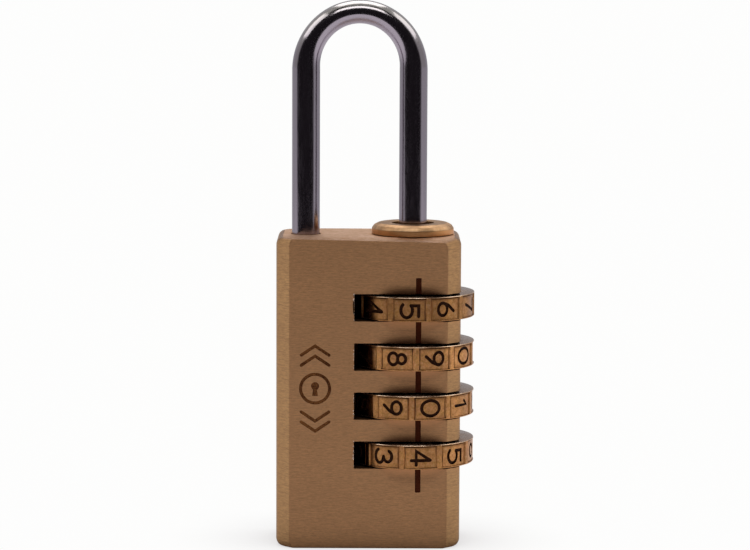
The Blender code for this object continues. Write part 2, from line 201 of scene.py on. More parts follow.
# The chrome's lilac tint is partly painted reflection of lilac walls, and the paler tone after it a
# painted highlight on faces turned up.
CHROME_WITH_LILAC_REFLECTION = (0.43, 0.38, 0.43)
CHROME_TOP_HIGHLIGHT = (0.56, 0.52, 0.51)
STEEL = (0.52, 0.52, 0.53)


# ---------------- node helpers

class Graph:
    """A node tree with short calls for the nodes that the materials and the world use."""

    def __init__(self, tree):
        self.tree = tree

    def add(self, kind, **values):
        node = self.tree.nodes.new(kind)
        for key, value in values.items():
            setattr(node, key, value)
        return node

    def link(self, output, target):
        self.tree.links.new(output, target)

    def feed(self, target, value):
        if isinstance(value, bpy.types.NodeSocket):
            self.link(value, target)
        else:
            target.default_value = value

    def math(self, operation, a, b=0.0, clamp=False):
        node = self.add("ShaderNodeMath", operation=operation, use_clamp=clamp)
        self.feed(node.inputs[0], a)
        self.feed(node.inputs[1], b)
        return node.outputs[0]

    def span(self, value, low, high, to_low=0.0, to_high=1.0, smooth=False):
        """Maps low..high to to_low..to_high, clamped."""
        kind = "SMOOTHSTEP" if smooth else "LINEAR"
        node = self.add("ShaderNodeMapRange", interpolation_type=kind)
        self.feed(node.inputs["Value"], value)
        limits = {"From Min": low, "From Max": high, "To Min": to_low, "To Max": to_high}
        for key, number in limits.items():
            node.inputs[key].default_value = number
        return node.outputs["Result"]

    def mix(self, factor, a, b):
        node = self.add("ShaderNodeMix", data_type="RGBA")
        self.feed(node.inputs["Factor"], factor)
        for key, value in (("A", a), ("B", b)):
            socket = next(s for s in node.inputs if s.name == key and s.type == "RGBA")
            self.feed(socket, (*value, 1.0) if isinstance(value, tuple) else value)
        return next(s for s in node.outputs if s.type == "RGBA")

    def parts(self, vector):
        node = self.add("ShaderNodeSeparateXYZ")
        self.link(vector, node.inputs[0])
        return node.outputs[0], node.outputs[1], node.outputs[2]


class Finish(Graph):
    """A material under construction around its Principled shader."""

    def __init__(self, name):
        self.material = bpy.data.materials.new(name)
        self.material.use_nodes = True
        super().__init__(self.material.node_tree)
        self.shader = self.tree.nodes["Principled BSDF"]

    def place(self, stretch=(1.0, 1.0, 1.0), shift=(0.0, 0.0, 0.0)):
        """Object coordinates in millimetres, moved and then stretched along each axis."""
        node = self.add("ShaderNodeMapping", vector_type="POINT")
        node.inputs["Scale"].default_value = [s / MM for s in stretch]
        node.inputs["Location"].default_value = [m * s / MM for m, s in zip(shift, stretch)]
        self.link(self.add("ShaderNodeTexCoord").outputs["Object"], node.inputs["Vector"])
        return node.outputs["Vector"]

    def noise(self, vector, scale, detail, roughness, seed=0.0):
        node = self.add("ShaderNodeTexNoise", noise_dimensions="4D")
        self.link(vector, node.inputs["Vector"])
        self.feed(node.inputs["W"], seed)
        node.inputs["Scale"].default_value = scale
        node.inputs["Detail"].default_value = detail
        node.inputs["Roughness"].default_value = roughness
        return node.outputs["Fac"]

    def bump(self, height, distance, strength, below=None):
        """Small relief in metres of the given height, on top of the relief below."""
        node = self.add("ShaderNodeBump")
        self.feed(node.inputs["Strength"], strength)
        node.inputs["Distance"].default_value = distance
        self.link(height, node.inputs["Height"])
        if below:
            self.link(below, node.inputs["Normal"])
        return node.outputs["Normal"]

    def recess(self, distance, lean=None):
        """1 in corners and grooves, 0 on open faces.  It can lean to one side, such as downwards."""
        node = self.add("ShaderNodeAmbientOcclusion", samples=8)
        node.inputs["Distance"].default_value = distance
        if lean:
            tilted = self.add("ShaderNodeVectorMath", operation="ADD")
            self.link(self.add("ShaderNodeNewGeometry").outputs["Normal"], tilted.inputs[0])
            tilted.inputs[1].default_value = lean
            self.link(tilted.outputs[0], node.inputs["Normal"])
        return self.math("SUBTRACT", 1.0, node.outputs["AO"], clamp=True)

    def metal(self, colour, roughness, normal, metallic=1.0):
        self.shader.inputs["Metallic"].default_value = metallic
        self.feed(self.shader.inputs["Base Color"], colour)
        self.feed(self.shader.inputs["Roughness"], roughness)
        self.link(normal, self.shader.inputs["Normal"])
        return self.material


def scaled(colour, factor):
    return tuple(min(1.0, c * factor) for c in colour)


def across_brushing(finish):
    """The direction in the surface that crosses level brushing marks."""
    normal = finish.add("ShaderNodeNewGeometry").outputs["Normal"]
    level = finish.add("ShaderNodeVectorMath", operation="CROSS_PRODUCT")
    finish.link(normal, level.inputs[0])
    level.inputs[1].default_value = (0.0, 0.05, 1.0)
    across = finish.add("ShaderNodeVectorMath", operation="CROSS_PRODUCT")
    finish.link(normal, across.inputs[0])
    finish.link(level.outputs[0], across.inputs[1])
    return across.outputs[0]


# ---------------- materials

def brushed_brass():
    """Block brass with fine level brushing, cloudy tarnish and small pits, plus painted light: lighter
    sides, a sheen on top, shade above the dials and light below them.
    """
    f = Finish("brushed_brass")
    fine = f.noise(f.place((1.8, 1.8, 7.5)), 1.0, 3.0, 0.8)
    lines = f.noise(f.place((0.6, 0.7, 9.5)), 1.0, 2.0, 0.7)
    cloud = f.noise(f.place((0.16, 0.3, 0.22)), 1.0, 3.0, 0.55)
    pits = f.noise(f.place((1.0, 1.0, 2.0)), 2.6, 2.0, 0.6)
    grain = f.math("ADD", f.math("MULTIPLY", fine, 0.6), f.math("MULTIPLY", lines, 0.4))
    normal = f.parts(f.add("ShaderNodeNewGeometry").outputs["Normal"])
    sideways, upward = normal[0], normal[2]
    # Painted light: faces turned to the sides get a lighter tone, and faces turned up a paler sheen.
    side_lit = f.span(f.math("ABSOLUTE", sideways), 0.3, 0.6)
    facing_tone = f.mix(side_lit, BRASS, SIDE_LIT_BRASS)
    facing_tone = f.mix(f.span(upward, 0.5, 0.95), facing_tone, TOP_SHEEN_BRASS)
    tone = f.mix(f.span(cloud, 0.3, 0.7, 0.0, 0.22), facing_tone, scaled(BRASS, 0.62))
    tone = f.mix(f.span(grain, 0.38, 0.60, 0.85, 0.0), tone, scaled(BRASS, 0.60))
    tone = f.mix(f.span(pits, 0.60, 0.78, 0.0, 0.40), tone, (0.42, 0.19, 0.08))
    # Painted shade on the face just above each dial, where the dial below blocks the light; kept off the
    # lowest few millimetres.
    above_floor = f.span(f.parts(f.place())[2], 1.5, 3.0)
    shade_above_dials = f.math("MULTIPLY", f.recess(1.4 * MM, lean=(0.0, 0.0, -0.9)), above_floor)
    tone = f.mix(f.span(shade_above_dials, 0.20, 0.66, 0.0, 0.93), tone, (0.05, 0.014, 0.005))
    # Painted light on the face just below each dial and under other overhangs, making it lighter and more
    # orange.
    light_below_dials = f.recess(1.2 * MM, lean=(0.0, 0.0, 0.9))
    tone = f.mix(f.span(light_below_dials, 0.15, 0.60, 0.0, 0.55), tone, (0.94, 0.50, 0.24))
    f.shader.inputs["Anisotropic"].default_value = 0.7
    f.link(across_brushing(f), f.shader.inputs["Tangent"])
    return f.metal(tone, f.span(grain, 0.3, 0.7, 0.50, 0.64), f.bump(grain, 0.012 * MM, 0.6))


def engraved(name, light):
    """Oxidised floor of an engraved line, from dark to the given lighter tone."""
    f = Finish(name)
    speck = f.noise(f.place(), 6.0, 3.0, 0.6)
    worn = f.noise(f.place(), 0.35, 2.0, 0.5)
    mixed = f.math("ADD", f.math("MULTIPLY", speck, 0.55), f.math("MULTIPLY", worn, 0.45))
    tone = f.mix(f.span(mixed, 0.38, 0.62), OXIDE, light)
    f.shader.inputs["Specular IOR Level"].default_value = 0.10
    return f.metal(tone, 0.75, f.bump(speck, 0.02 * MM, 0.7), 0.0)


def milled_inside():
    """Walls of the slots and bores: dull brass with cutter marks, with painted shade darkening it in deep
    corners.
    """
    f = Finish("milled_inside")
    marks = f.noise(f.place((0.6, 0.6, 6.0)), 2.0, 3.0, 0.6)
    tone = f.mix(f.span(marks, 0.3, 0.7), (0.16, 0.08, 0.035), (0.34, 0.18, 0.08))
    # Painted shade: deep corners of the slots and bores darken towards black.
    tone = f.mix(f.span(f.recess(1.2 * MM), 0.2, 0.8), tone, (0.02, 0.011, 0.008))
    return f.metal(tone, 0.55, f.bump(marks, 0.02 * MM, 0.6))


def nick_brass():
    """Bare brass of the burrs and nicks that the slot cutter left, lightened towards white as painted
    glints.
    """
    f = Finish("nick_brass")
    speck = f.noise(f.place(), 8.0, 2.0, 0.6)
    tone = f.mix(f.span(speck, 0.3, 0.7), (0.80, 0.56, 0.38), (0.98, 0.84, 0.70))
    return f.metal(tone, 0.38, f.bump(speck, 0.02 * MM, 0.8))


def dial_brass():
    """Stamped dial brass, blotchy where the lacquer has gone and worn smooth on the rims, with a painted
    highlight on the upper rims, painted shade under the lips and inside the slots, and the first two
    dials painted darker.
    """
    f = Finish("dial_brass")
    number = f.add("ShaderNodeObjectInfo").outputs["Object Index"]
    each = f.math("MULTIPLY", number, 7.3)
    wear = f.noise(f.place(), 1.1, 4.0, 0.6, each)
    hue = f.noise(f.place(), 1.7, 2.0, 0.5, f.math("ADD", each, 3.0))
    spots = f.noise(f.place(), 4.2, 3.0, 0.7, each)
    grain = f.noise(f.place((1.0, 1.0, 4.0)), 3.5, 3.0, 0.6, each)
    tone = f.mix(f.span(wear, 0.32, 0.68), scaled(DIAL_BRASS, 0.58), scaled(DIAL_BRASS, 1.08))
    tone = f.mix(f.span(hue, 0.38, 0.66, 0.0, 0.55), tone, (0.74, 0.33, 0.15))
    tone = f.mix(f.span(spots, 0.30, 0.52, 0.55, 0.0), tone, (0.26, 0.11, 0.035))
    tone = f.mix(f.span(spots, 0.54, 0.72, 0.0, 0.50), tone, (0.97, 0.66, 0.36))
    # Painted shade: the first dial is darkened overall, the second a little.
    shade_by_dial = f.math("ADD", f.span(number, 1.0, 2.0, 0.34, 0.0), f.span(number, 2.0, 3.0, 0.0, 0.10))
    tone = f.mix(shade_by_dial, tone, (0.16, 0.075, 0.022))
    # Painted shade on the panels under each top lip.
    under_lip = f.span(f.recess(0.4 * MM, lean=(0.0, 0.0, 0.8)), 0.12, 0.6, 0.0, 0.8)
    tone = f.mix(under_lip, tone, (0.09, 0.030, 0.008))
    # Painted shade where a dial runs back into its slot.
    tone = f.mix(f.span(f.recess(3.0 * MM), 0.34, 0.62, 0.0, 0.9), tone, (0.03, 0.012, 0.005))
    upward = f.parts(f.add("ShaderNodeNewGeometry").outputs["Normal"])[2]
    flat = f.math("ABSOLUTE", upward)
    # Painted highlight, partly wear: the upper rim bevels, turned up to the lamps, take a light tone
    # where the wear noise allows.
    bevel = f.math("MULTIPLY", f.span(upward, 0.2, 0.4), f.span(flat, 0.75, 0.9, 1.0, 0.0))
    edge = f.math("MULTIPLY", bevel, f.span(wear, 0.36, 0.58, 0.35, 1.0))
    tone = f.mix(edge, tone, (1.0, 0.78, 0.58))
    end_face = f.span(flat, 0.9, 0.98)
    tone = f.mix(f.math("MULTIPLY", end_face, 0.85), tone, (0.42, 0.29, 0.21))
    f.shader.inputs["Anisotropic"].default_value = 0.85
    f.link(across_brushing(f), f.shader.inputs["Tangent"])
    polish = f.math("ADD", f.math("MULTIPLY", bevel, 0.12), f.math("MULTIPLY", end_face, 0.14))
    roughness = f.math("SUBTRACT", f.span(grain, 0.3, 0.7, 0.34, 0.48), polish)
    return f.metal(tone, roughness, f.bump(grain, 0.012 * MM, f.span(flat, 0.5, 0.9, 0.7, 0.12)))


def dial_mark():
    """Dark filling of the digits, and of the line along each panel's top, which is a painted shadow under
    the lip.
    """
    f = Finish("dial_mark")
    speck = f.noise(f.place(), 7.0, 2.0, 0.6)
    tone = f.mix(f.span(speck, 0.4, 0.75), (0.024, 0.006, 0.002), (0.090, 0.030, 0.009))
    f.shader.inputs["Specular IOR Level"].default_value = 0.1
    return f.metal(tone, 0.6, f.bump(speck, 0.01 * MM, 0.5), 0.0)


def dial_groove():
    """The stamped lines beside the ribs: dark partly with old grime and partly with painted shade beside
    the ribs, half worn away.
    """
    f = Finish("dial_groove")
    left = f.noise(f.place((1.0, 1.0, 0.3)), 1.3, 3.0, 0.6)
    tone = f.mix(f.span(left, 0.38, 0.54), (0.07, 0.024, 0.008), scaled(DIAL_BRASS, 0.70))
    return f.metal(tone, 0.5, f.bump(left, 0.01 * MM, 0.5), 0.7)


def turned_brass(name, axis_x):
    """Lathe-turned brass with fine rings about an upright axis, at axis_x in the object's frame. Upright
    faces are painted lighter, flat faces darker, and bores get painted shade.
    """
    f = Finish(name)
    x, y, z = f.parts(f.place(shift=(-axis_x, 0.0, 0.0)))
    squares = f.math("ADD", f.math("MULTIPLY", x, x), f.math("MULTIPLY", y, y))
    section = f.add("ShaderNodeCombineXYZ")
    f.link(f.math("SQRT", squares), section.inputs[0])
    f.link(z, section.inputs[2])
    rings = f.noise(section.outputs[0], 9.0, 3.0, 0.6)
    cloud = f.noise(f.place((1.0, 1.0, 0.5)), 0.9, 3.0, 0.6)
    tone = f.mix(f.span(cloud, 0.34, 0.66), (0.48, 0.26, 0.115), (0.86, 0.53, 0.28))
    tone = f.mix(f.span(rings, 0.35, 0.65, 0.0, 0.25), tone, (0.80, 0.52, 0.30))
    level = f.math("ABSOLUTE", f.parts(f.add("ShaderNodeNewGeometry").outputs["Normal"])[2])
    # Painted light and shade by facing: upright faces take a lighter orange tone, flat faces a darker
    # one.
    tone = f.mix(f.span(level, 0.05, 0.35, 0.80, 0.0), tone, (0.97, 0.47, 0.18))
    tone = f.mix(f.span(level, 0.94, 0.99, 0.0, 0.6), tone, (0.26, 0.15, 0.08))
    # Painted shade in bores and deep corners.
    tone = f.mix(f.span(f.recess(2.0 * MM), 0.42, 0.75, 0.0, 0.92), tone, (0.030, 0.012, 0.007))
    return f.metal(tone, f.span(rings, 0.3, 0.7, 0.38, 0.50), f.bump(rings, 0.012 * MM, 0.6))


def polished_chrome():
    """Bright plating with the faint waviness of drawn wire, rub marks and pin specks; its lilac tint is
    partly painted reflection of lilac walls, and faces turned up are paler as a painted highlight.
    """
    f = Finish("polished_chrome")
    wave = f.noise(f.place((1.0, 1.0, 0.25)), 0.45, 2.0, 0.5)
    rubs = f.noise(f.place((1.0, 1.0, 0.06)), 5.0, 3.0, 0.7)
    specks = f.noise(f.place(), 3.2, 2.0, 0.6)
    upward = f.parts(f.add("ShaderNodeNewGeometry").outputs["Normal"])[2]
    # Painted highlight: faces turned up take a paler, whiter tone.
    tone = f.mix(f.span(upward, 0.2, 0.6), CHROME_WITH_LILAC_REFLECTION, CHROME_TOP_HIGHLIGHT)
    tone = f.mix(f.span(specks, 0.66, 0.78, 0.0, 0.6), tone, (0.30, 0.27, 0.28))
    relief = f.bump(rubs, 0.003 * MM, 0.6, f.bump(wave, 0.035 * MM, 0.5))
    under_arch = f.span(upward, -0.75, -0.25, 0.28, 0.0)
    return f.metal(tone, f.math("ADD", f.span(rubs, 0.30, 0.72, 0.10, 0.22), under_arch), relief)


def spring_steel():
    """Drawn steel of the springs, balls and washer inside."""
    f = Finish("spring_steel")
    grain = f.noise(f.place((1.0, 1.0, 3.0)), 3.0, 3.0, 0.6)
    tone = f.mix(f.span(grain, 0.3, 0.7), scaled(STEEL, 0.8), STEEL)
    return f.metal(tone, f.span(grain, 0.3, 0.7, 0.22, 0.38), f.bump(grain, 0.01 * MM, 0.5))


MATERIALS = {
    "brushed_brass": brushed_brass(),
    "engraved_dark": engraved("engraved_dark", (0.10, 0.020, 0.005)),
    "engraved_worn": engraved("engraved_worn", (0.30, 0.12, 0.035)),
    "nick_brass": nick_brass(),
    "milled_inside": milled_inside(),
    "dial_brass": dial_brass(),
    "dial_mark": dial_mark(),
    "dial_groove": dial_groove(),
    "turned_brass": turned_brass("turned_brass", 0.0),
    "sleeve_brass": turned_brass("sleeve_brass", AXIS.x),
    "polished_chrome": polished_chrome(),
    "spring_steel": spring_steel(),
}


# ---------------- outlines

def arc(centre, radius, start, end, steps):
    """Points along an arc, from one angle to another in degrees.  The radius may be (x, y)."""
    rx, ry = radius if isinstance(radius, tuple) else (radius, radius)
    angles = [math.radians(start + (end - start) * i / steps) for i in range(steps + 1)]
    return [(centre[0] + rx * math.cos(a), centre[1] + ry * math.sin(a)) for a in angles]


def oval(centre, radius, count):
    """The given number of points evenly round a circle or, with a radius (x, y), an ellipse."""
    return arc(centre, radius, 0, 360.0 - 360.0 / count, count - 1)


def rounded(corners, radius, steps=3, axis_points=()):
    """The closed outline with its corners rounded, all but those numbered in axis_points.
    The radius is one number, or a number for each corner."""
    out = []
    for i, corner in enumerate(corners):
        here = Vector(corner)
        if i in axis_points:
            out.append(tuple(here))
            continue
        before = Vector(corners[i - 1]) - here
        after = Vector(corners[(i + 1) % len(corners)]) - here
        wanted = radius[i] if isinstance(radius, dict) else radius
        reach = min(wanted, 0.45 * before.length, 0.45 * after.length)
        start, end = here + reach * before.normalized(), here + reach * after.normalized()
        for k in range(steps + 1):
            t = k / steps
            out.append(tuple((1.0 - t) ** 2 * start + 2.0 * t * (1.0 - t) * here + t ** 2 * end))
    return out


def rectangle(half_x, half_y):
    return [(half_x, -half_y), (half_x, half_y), (-half_x, half_y), (-half_x, -half_y)]


def line_outline(points, width, cap_steps=5):
    """The outline of a line of a given width along points, with round ends."""
    points = [Vector(p) for p in points]
    half = width / 2.0
    turns = [(b - a).normalized() for a, b in zip(points, points[1:])]
    left, right = [], []
    for i, point in enumerate(points):
        before, after = turns[max(i - 1, 0)], turns[min(i, len(turns) - 1)]
        middle = (before + after).normalized()
        normal = Vector((-middle.y, middle.x))
        reach = half / max(middle.dot(before), 0.6)
        left.append(point + reach * normal)
        right.append(point - reach * normal)
    caps = []
    for centre, start in ((points[-1], right[-1]), (points[0], left[0])):
        spoke = start - centre
        caps.append([
            centre + Matrix.Rotation(math.pi * k / cap_steps, 2) @ spoke for k in range(1, cap_steps)
        ])
    return right + caps[0] + left[::-1] + caps[1]


# ---------------- meshes

def add_piece(name, bm, materials, location=(0.0, 0.0, 0.0), sharp=30.0):
    bmesh.ops.recalc_face_normals(bm, faces=bm.faces)
    mesh = bpy.data.meshes.new(name)
    bm.to_mesh(mesh)
    bm.free()
    for key in materials:
        mesh.materials.append(MATERIALS[key])
    mesh.shade_smooth()
    mesh.set_sharp_from_angle(angle=math.radians(sharp))
    obj = bpy.data.objects.new(name, mesh)
    obj.location = location
    bpy.context.collection.objects.link(obj)
    return obj


def install(piece, body, slot, *nodes):
    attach(piece, body)
    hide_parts(*nodes)


def turned(profile, steps):
    """A solid of revolution about Z.  The profile is a closed loop of (radius, height) points."""
    bm = bmesh.new()
    verts = [bm.verts.new((radius, 0.0, z)) for radius, z in profile]
    edges = [bm.edges.new((a, b)) for a, b in zip(verts, verts[1:] + verts[:1])]
    bmesh.ops.spin(
        bm, geom=verts + edges, cent=(0, 0, 0), axis=(0, 0, 1), angle=2.0 * math.pi,
        steps=steps, use_merge=True,
    )
    bmesh.ops.remove_doubles(bm, verts=bm.verts, dist=0.0005 * MM)
    on_axis = [e for e in bm.edges if all(math.hypot(v.co.x, v.co.y) < 1e-9 for v in e.verts)]
    bmesh.ops.delete(bm, geom=on_axis, context="EDGES")
    return bm


def join_rings(bm, rings):
    """Side faces between rings of equal point count, and a face over each end."""
    for low, high in zip(rings, rings[1:]):
        for i in range(len(low)):
            j = (i + 1) % len(low)
            bm.faces.new((low[i], low[j], high[j], high[i]))
    bm.faces.new(rings[0][::-1])
    bm.faces.new(rings[-1])


def add_box(bm, low, high, turn=None):
    low, high = Vector(low), Vector(high)
    place = Matrix.Translation((low + high) / 2.0) @ Matrix.Diagonal((*(high - low), 1.0))
    bmesh.ops.create_cube(bm, size=1.0, matrix=(turn or Matrix()) @ place)


def add_cylinder(bm, radius, depth, matrix, steps):
    bmesh.ops.create_cone(
        bm, cap_ends=True, segments=steps, radius1=radius, radius2=radius, depth=depth, matrix=matrix
    )


def add_prism(bm, outline, low, high, place):
    """An outline pulled from low to high along its own third axis."""
    join_rings(bm, [[bm.verts.new(place @ Vector((x, y, h))) for x, y in outline] for h in (low, high)])


def add_tube(bm, stations, sides):
    """A closed tube through stations: a centre and the two half axes of the oval section there."""
    rings = []
    for centre, across, beside in stations:
        turns = [polar(1.0, 2.0 * math.pi * k / sides) for k in range(sides)]
        rings.append([bm.verts.new(centre + c * across + s * beside) for c, s in turns])
    join_rings(bm, rings)


def add_hoop(bm, outer, inner, low, high, place):
    """The prism between an outer and an inner outline of equal point count."""
    loops = [
        [bm.verts.new(place @ Vector((x, y, h))) for x, y in outline]
        for outline, h in ((outer, low), (outer, high), (inner, high), (inner, low))
    ]
    for a, b in zip(loops, loops[1:] + loops[:1]):
        for i in range(len(a)):
            j = (i + 1) % len(a)
            bm.faces.new((a[i], a[j], b[j], b[i]))


def subtract(target, bm, material, name, solver="MANIFOLD"):
    """Cuts a solid out of the target; the walls take the solid's material."""
    tool = add_piece(name, bm, [material])
    modifier = target.modifiers.new(name, "BOOLEAN")
    modifier.operation = "DIFFERENCE"
    modifier.solver = solver
    modifier.material_mode = "TRANSFER"
    modifier.object = tool
    return tool


def bake(obj, tools=()):
    """Applies the object's modifiers and removes the tools that they used."""
    bpy.context.view_layer.update()
    evaluated = obj.evaluated_get(bpy.context.evaluated_depsgraph_get())
    mesh = bpy.data.meshes.new_from_object(evaluated)
    obj.modifiers.clear()
    obj.data = mesh
    mesh.name = obj.name
    for tool in tools:
        bpy.data.objects.remove(tool)


def merge_flat_faces(obj):
    bm = bmesh.new()
    bm.from_mesh(obj.data)
    bmesh.ops.dissolve_limit(
        bm, angle_limit=math.radians(0.05), verts=bm.verts, edges=bm.edges, delimit={"MATERIAL", "NORMAL"}
    )
    bm.to_mesh(obj.data)
    bm.free()


def round_edges(obj, width, sharp):
    bevel = obj.modifiers.new("edge_break", "BEVEL")
    bevel.width = width
    bevel.segments = 2
    bevel.limit_method = "ANGLE"
    bevel.angle_limit = math.radians(sharp)
    bevel.use_clamp_overlap = False
    bake(obj)


def weigh_normals(obj, sharp):
    """Weights the normals by area, so that flat faces beside small rounded ones stay flat."""
    obj.data.shade_smooth()
    obj.data.set_sharp_from_angle(angle=math.radians(sharp))
    weigh = obj.modifiers.new("weigh_normals", "WEIGHTED_NORMAL")
    weigh.keep_sharp = True
    weigh.weight = 100
    bake(obj)


# ---------------- body

def body_section(inset_x, inset_y):
    """The body's eight-sided section, drawn in and with its corners slightly rounded.
    The chamfers narrow as it is drawn in."""
    x, y = BODY_HIGH.x - inset_x, BODY_HIGH.y - inset_y
    leg = CORNER - CORNER_SHRINK * (inset_x + inset_y)
    half = [(x - leg, -y), (x, leg - y), (x, y - leg), (x - leg, y)]
    corners = half + [(-px, -py) for px, py in half]
    at_faces, at_sides = (0, 3, 4, 7), (1, 2, 5, 6)
    radius = {**dict.fromkeys(at_faces, CORNER_ROUND), **dict.fromkeys(at_sides, OUTER_ROUND)}
    return rounded(corners, radius)


def inset(rise, rounding):
    """How far a rounded end is drawn in at a height above its end face."""
    depth, height = rounding
    part = 1.0 - min(rise / height, 1.0)
    return depth * (1.0 - math.sqrt(1.0 - part * part))


def rubbed_down(x, y):
    """How far the top is worn down at a point near the front edge."""
    along = min(max((x - BODY_LOW.x) / (BODY_HIGH.x - BODY_LOW.x), 0.0), 1.0)
    near = min(max(1.0 - (y - FRONT) / WEAR_DEPTH, 0.0), 1.0)
    return WEAR_DROP * along * near * near * (3.0 - 2.0 * near)


def body_block():
    """The block with rounded ends.  Extra rings on its top carry the worn front edge."""
    bm = bmesh.new()
    steps = 8
    rises = [SIDE_ROUND[1] * (1.0 - math.cos(0.5 * math.pi * k / steps)) for k in range(steps + 1)]
    ends = [(rise, body_section(inset(rise, SIDE_ROUND), inset(rise, FACE_ROUND))) for rise in rises]
    rings = [[bm.verts.new((x, y, BODY_LOW.z + rise)) for x, y in section] for rise, section in ends]
    for k in range(1, steps + 1):
        more = k * WEAR_DEPTH / steps
        ends.insert(0, (0.0, body_section(SIDE_ROUND[0] + more, FACE_ROUND[0] + more)))
    for rise, section in ends[::-1]:
        rings.append([bm.verts.new((x, y, TOP - rise - rubbed_down(x, y))) for x, y in section])
    join_rings(bm, rings)
    bmesh.ops.triangulate(bm, faces=bm.faces)
    return bm


def bore_cutter():
    seat = SPIGOT_BOTTOM - FIT_GAP
    bm = turned([
        (0.0, TOP + OVERRUN),
        (SPIGOT_RADIUS + FIT_GAP, TOP + OVERRUN),
        (SPIGOT_RADIUS + FIT_GAP, seat),
        (NECK_RADIUS, seat),
        (NECK_RADIUS, SHOULDER),
        (BORE_RADIUS, SHOULDER),
        (BORE_RADIUS, -OVERRUN),
        (0.0, -OVERRUN),
    ], 96)
    bmesh.ops.translate(bm, vec=AXIS, verts=bm.verts)
    return bm


def slot_cutters():
    bm = bmesh.new()
    for centre in DIAL_CENTRES:
        middle = Vector((SLOT_END + SLOT_CUTTER_RADIUS, 0.0, centre.z + DIAL_DROP))
        add_cylinder(bm, SLOT_CUTTER_RADIUS, SLOT_HEIGHT, Matrix.Translation(middle), 192)
    return bm


def hole_cutters():
    """The toe's blind hole and the pockets behind the dials."""
    bm = bmesh.new()
    depth = TOP + OVERRUN - TOE_HOLE_BOTTOM
    toe = Vector((TOE_X, 0.0, TOE_HOLE_BOTTOM + depth / 2.0))
    add_cylinder(bm, TOE_HOLE_RADIUS, depth, Matrix.Translation(toe), 64)
    for centre in DIAL_CENTRES:
        pocket = Vector((SLOT_END + (OVERRUN - POCKET_DEPTH) / 2.0, POCKET_Y, centre.z))
        place = Matrix.Translation(pocket) @ Matrix.Rotation(math.pi / 2.0, 4, "Y")
        add_cylinder(bm, POCKET_RADIUS, POCKET_DEPTH + OVERRUN, place, 24)
    return bm


def on_front(x, z):
    """Places an (x, z) drawing on the front face; its third axis points out of the face."""
    return Matrix(((1, 0, 0, x), (0, 0, -1, FRONT), (0, 1, 0, z), (0, 0, 0, 1)))


def index_cutter():
    bm = bmesh.new()
    outline = rounded(rectangle(INDEX_WIDTH / 2.0, (INDEX_TOP - INDEX_BOTTOM) / 2.0), INDEX_ROUND)
    add_prism(bm, outline, -INDEX_DEPTH, OVERRUN, on_front(INDEX_X, (INDEX_TOP + INDEX_BOTTOM) / 2.0))
    return bm


def mark_cutter():
    """A ringed keyhole with two chevrons above it and two below."""
    bm = bmesh.new()
    place = on_front(*MARK_CENTRE)
    outer, inner = (oval((0, 0), radius, 48) for radius in (MARK_RING, MARK_RING - MARK_LINE))
    add_hoop(bm, outer, inner, -MARK_DEPTH, OVERRUN, place)
    eye, eye_radius = KEYHOLE_EYE
    half_foot, foot = KEYHOLE_FOOT
    keyhole = arc((0, eye), eye_radius, -62, 242, 20) + [(-half_foot, -foot), (half_foot, -foot)]
    add_prism(bm, keyhole, -MARK_DEPTH, OVERRUN, place)
    reach, rise = CHEVRON
    for side in (1.0, -1.0):
        for start in CHEVRON_STARTS:
            points = [(-reach, side * start), (0.0, side * (start + rise)), (reach, side * start)]
            add_prism(bm, line_outline(points, MARK_LINE), -MARK_DEPTH, OVERRUN, place)
    return bm


def nick_cutters():
    """Small irregular chips along the left edge of each slot, where the cutter left burrs."""
    bm = bmesh.new()
    run = SLOT_CUTTER_RADIUS - math.sqrt(SLOT_CUTTER_RADIUS ** 2 - FRONT ** 2)
    for centre in DIAL_CENTRES:
        middle = Vector((SLOT_END + run, FRONT, centre.z + DIAL_DROP))
        for k in range(NICKS):
            rise = ((k + random.uniform(0.2, 0.8)) / NICKS - 0.5) * SLOT_HEIGHT
            spot = middle + Vector((random.uniform(-0.05, 0.03) * MM, 0.0, rise))
            size = random.uniform(*NICK_SIZES)
            stretch = Matrix.Diagonal((random.uniform(0.6, 1.0), 0.8, random.uniform(0.8, 1.9), 1.0))
            turn = Matrix.Rotation(random.uniform(-0.7, 0.7), 4, "Y")
            place = Matrix.Translation(spot) @ turn @ stretch
            bmesh.ops.create_icosphere(bm, subdivisions=2, radius=size, matrix=place)
    return bm


def make_body():
    body = add_piece("body_shell", body_block(), ["brushed_brass"])
    tools = [
        subtract(body, bore_cutter(), "milled_inside", "bore_tool", "EXACT"),
        subtract(body, slot_cutters(), "milled_inside", "slot_tool", "EXACT"),
        subtract(body, hole_cutters(), "milled_inside", "hole_tool", "EXACT"),
        subtract(body, index_cutter(), "engraved_dark", "index_tool", "EXACT"),
        subtract(body, mark_cutter(), "engraved_worn", "mark_tool", "EXACT"),
    ]
    bake(body, tools)
    merge_flat_faces(body)
    round_edges(body, EDGE_BREAK, SHARP)
    bake(body, [subtract(body, nick_cutters(), "nick_brass", "nick_tool")])
    weigh_normals(body, SHARP)
    install(body, "case", "brushed_brass", "lock_body")


# ---------------- dials

